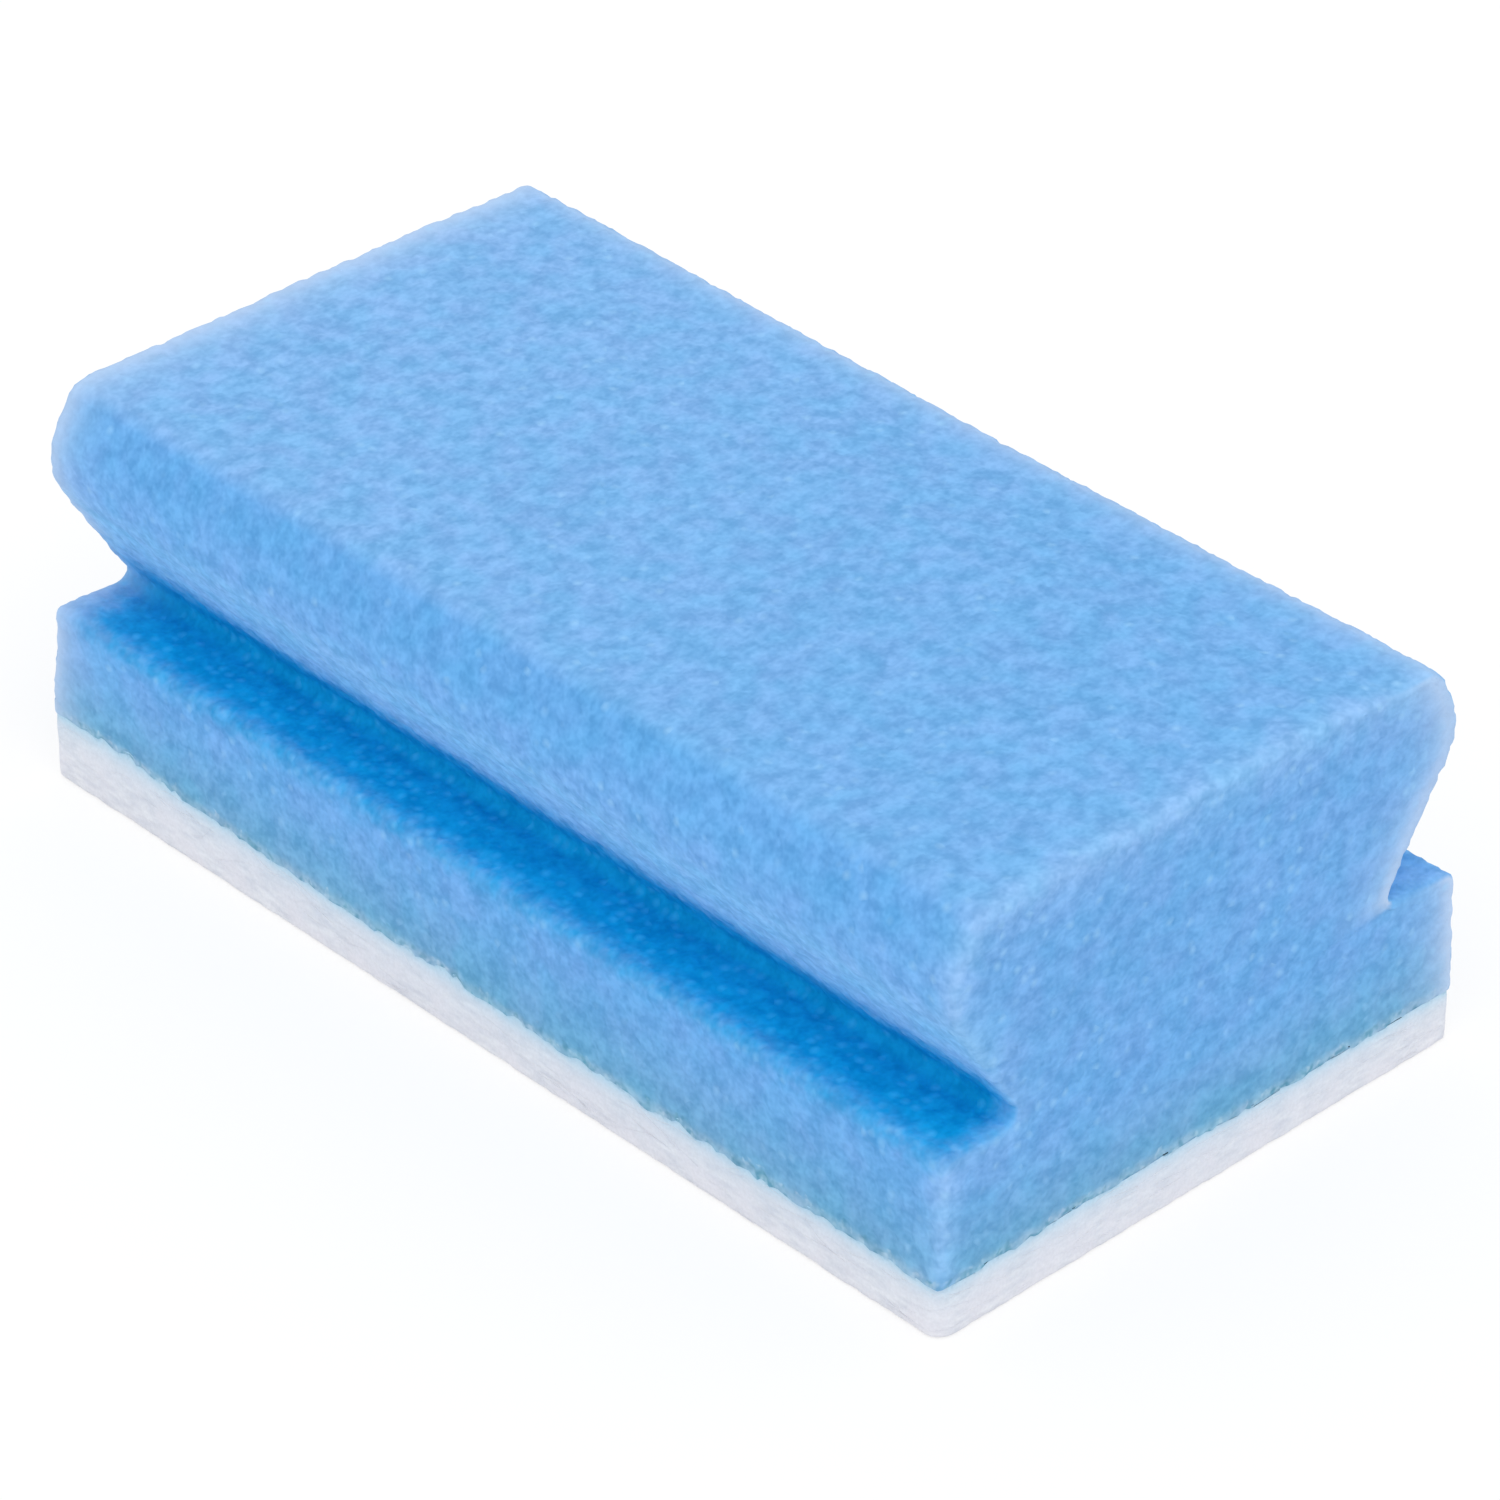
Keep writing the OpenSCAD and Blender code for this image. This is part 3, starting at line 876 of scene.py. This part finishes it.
# Thin three-sided tubes along many paths at once: at each point of a path a triangle stands
# across its direction, and it is smallest at the two ends
def fibreMesh(name, paths):
    count, rings = paths.shape[:2]
    ahead = unit(np.gradient(paths, axis=1))
    steep = (0.31, 0.22, 0.93)   # no fibre runs this way
    side = unit(np.cross(ahead, steep))
    over = np.cross(side, ahead)
    turn = np.arange(3) * 2 * np.pi / 3
    arms = np.cos(turn)[:, None] * side[:, :, None] + np.sin(turn)[:, None] * over[:, :, None]
    taper = 0.35 + 0.65 * np.sin(np.linspace(0, np.pi, rings))
    tubes = paths[:, :, None] + fibres["radius"] * taper[:, None, None] * arms
    index = np.arange(count * rings * 3).reshape(count, rings, 3)
    beside = np.roll(index, -1, axis=2)
    quads = np.stack([index[:, :-1], index[:, 1:], beside[:, 1:], beside[:, :-1]], -1).reshape(-1, 4)
    caps = np.concatenate([index[:, 0], index[:, -1, ::-1]])
    mesh = bpy.data.meshes.new(name)
    mesh.from_pydata(tubes.reshape(-1, 3).tolist(), [], quads.tolist() + caps.tolist())
    mesh.update()
    mesh.calc_loop_triangles()
    return mesh


# Random starts, lengths and bends for a number of fibres. Gives the run of each along its
# own direction and sideways, and its height, from its tucked-in ends to its middle.
def fibreRuns(count, seed):
    rng = np.random.default_rng(seed)
    t = np.linspace(-1, 1, fibres["steps"] + 1)[None]
    half = rng.uniform(*fibres["length"], (count, 1)) / 2
    bend = rng.normal(0, fibres["bow"], (count, 2))
    along = half * t
    across = bend[:, :1] * (1 - t ** 2) + bend[:, 1:] * t * (1 - t ** 2)
    lift = rng.uniform(0, fibres["proud"], (count, 1)) * (1 - t ** 6) - fibres["tuck"] * t ** 6
    return rng, along, across, lift


# Fibres on the sides: each runs round the plan and a little up or down
def sidePaths():
    count = fibres["sideCount"]
    rng, along, across, lift = fibreRuns(count, 51)
    plan, normal, _ = fleecePlan(fleece["spacing"])
    length = np.concatenate([[0], np.linalg.norm(np.diff(plan, axis=0), axis=1).cumsum()])
    tilt = rng.normal(0, fibres["rise"], (count, 1))
    start = rng.uniform(0, length[-1], (count, 1))
    level = rng.uniform(0.3 * mm, seam["height"] - 0.8 * mm, (count, 1))
    around = (start + along * np.cos(tilt) - across * np.sin(tilt)) % length[-1]
    up = level + along * np.sin(tilt) + across * np.cos(tilt) * 0.35
    up = np.clip(up, 0.15 * mm, seam["height"] - 0.6 * mm)
    radius = fleece["edgeRadius"]
    low = np.clip(1 - up / radius, 0, 1)
    out = lift - radius * (1 - np.sqrt(1 - low ** 2))

    def onPlan(values):
        return np.stack([np.interp(around, length, values[:, axis]) for axis in (0, 1)], -1)

    return np.concatenate([onPlan(plan) + out[..., None] * onPlan(normal), up[..., None]], axis=2)


# Fibres on the underside: they lie any way round, at the height of the felt there
def undersidePaths():
    count = fibres["baseCount"]
    rng, along, across, lift = fibreRuns(count, 52)
    heading = rng.uniform(0, 2 * np.pi, (count, 1))
    reach = fleeceHigh[:2] - 0.5 * mm
    middle = rng.uniform(-1, 1, (count, 2)) * reach
    x = middle[:, :1] + along * np.cos(heading) - across * np.sin(heading)
    y = middle[:, 1:] + along * np.sin(heading) + across * np.cos(heading)
    z = fleece["recess"] - lift * 0.6
    return np.stack([np.clip(x, -reach[0], reach[0]), np.clip(y, -reach[1], reach[1]), z], -1)


# The fibres follow the seam and the standing base, and stay above the ground
def buildFibres():
    for name, paths in (("fleece_side_fibres", sidePaths()), ("fleece_base_fibres", undersidePaths())):
        points = paths.reshape(-1, 3)
        standProud(points)
        points[:, 2] += seamLift(points, seam["height"], 1.0 * mm)
        points[:, 2] = np.clip(points[:, 2], fibres["radius"] + 0.01 * mm, None)
        addPiece(name, fibreMesh(name, paths), fibreMaterial())


studio = {
    "sky": 0.88,                # light from all round
    "sun": 0.70,                # the softbox above the camera's side
    "sunAngle": 50,             # its apparent size in degrees, for soft shadows
    "sunFrom": (0.40, -0.30, 1.0),
    "floorSize": 3.0,
    "floorLevel": -0.02 * mm,
    "floorBounce": 0.9,
    "shadowShare": 0.30,        # how much of its shadow the floor shows
}


# 1 for rays that should see plain white: those of the camera, and those that a glossy or
# clear surface sends on
def showsWhite(tree):
    ray = tree.nodes.new("ShaderNodeLightPath").outputs
    seen = tree.sums("MAXIMUM", ray["Is Camera Ray"], ray["Is Glossy Ray"])
    return tree.sums("MAXIMUM", seen, ray["Is Transmission Ray"])


# White floor. The camera sees its shadow part-strength on white; other rays see plain paint.
def floorMaterial():
    tree = NodeTree("whiteFloor")
    white = rgb(1, 1, 1)
    paint = rgb(studio["floorBounce"], studio["floorBounce"], studio["floorBounce"])
    plain = tree.add("ShaderNodeBsdfDiffuse", 0, {"Color": paint})
    shown = tree.add("ShaderNodeBsdfDiffuse", 0, {"Color": white})
    glow = tree.add("ShaderNodeEmission", 0, {"Color": white, "Strength": 1.0})
    mixed = tree.add("ShaderNodeMixShader", 0, {0: studio["shadowShare"], 1: glow, 2: shown})
    seen = tree.add("ShaderNodeMixShader", 0, {0: showsWhite(tree), 1: plain, 2: mixed})
    tree.plug(tree.nodes["Material Output"].inputs["Surface"], seen)
    return tree.material


# A floor, a white world that is dimmer as a light than as a backdrop, and one soft light
def buildStudio():
    size = studio["floorSize"]
    level = studio["floorLevel"]
    corners = [(-size, -size, level), (size, -size, level), (size, size, level), (-size, size, level)]
    mesh = bpy.data.meshes.new("floor")
    mesh.from_pydata(corners, [], [(0, 1, 2, 3)])
    floor = bpy.data.objects.new("floor", mesh)
    mesh.materials.append(floorMaterial())
    bpy.context.scene.collection.objects.link(floor)

    world = bpy.data.worlds.new("studio")
    world.use_nodes = True
    bpy.context.scene.world = world
    tree = NodeTree(world)
    background = tree.nodes["Background"]
    tree.plug(background.inputs["Color"], rgb(1, 1, 1))
    tree.plug(background.inputs["Strength"], tree.spread(showsWhite(tree), 0.0, 1.0, studio["sky"], 1.0))

    light = bpy.data.lights.new("softbox", "SUN")
    light.energy = studio["sun"]
    light.angle = np.radians(studio["sunAngle"])
    lamp = bpy.data.objects.new("softbox", light)
    lamp.rotation_euler = Vector(studio["sunFrom"]).to_track_quat("Z", "Y").to_euler()
    bpy.context.scene.collection.objects.link(lamp)


cameraPlace = {
    "aim": (2.1 * mm, 0.1 * mm, 19.4 * mm),
    "azimuth": 46.65,
    "elevation": 33.58,
    "distance": 0.680,
    "lens": 163.6,
}


# The camera stands at an azimuth, an elevation and a distance from the point it aims at
def buildCamera():
    azimuth, elevation = np.radians([cameraPlace["azimuth"], cameraPlace["elevation"]])
    level = np.cos(elevation)
    back = Vector((np.sin(azimuth) * level, -np.cos(azimuth) * level, np.sin(elevation)))
    view = bpy.data.cameras.new("camera")
    view.lens = cameraPlace["lens"]
    view.sensor_width = 36
    camera = bpy.data.objects.new("camera", view)
    camera.location = Vector(cameraPlace["aim"]) + back * cameraPlace["distance"]
    camera.rotation_euler = back.to_track_quat("Z", "Y").to_euler()
    bpy.context.scene.collection.objects.link(camera)
    bpy.context.scene.camera = camera
    bpy.context.scene.view_settings.view_transform = "Standard"


print("camera and studio")
buildCamera()
buildStudio()
print("foam grip")
buildFoam()
print("fleece pad")
buildFleece()
print("loose fibres")
buildFibres()
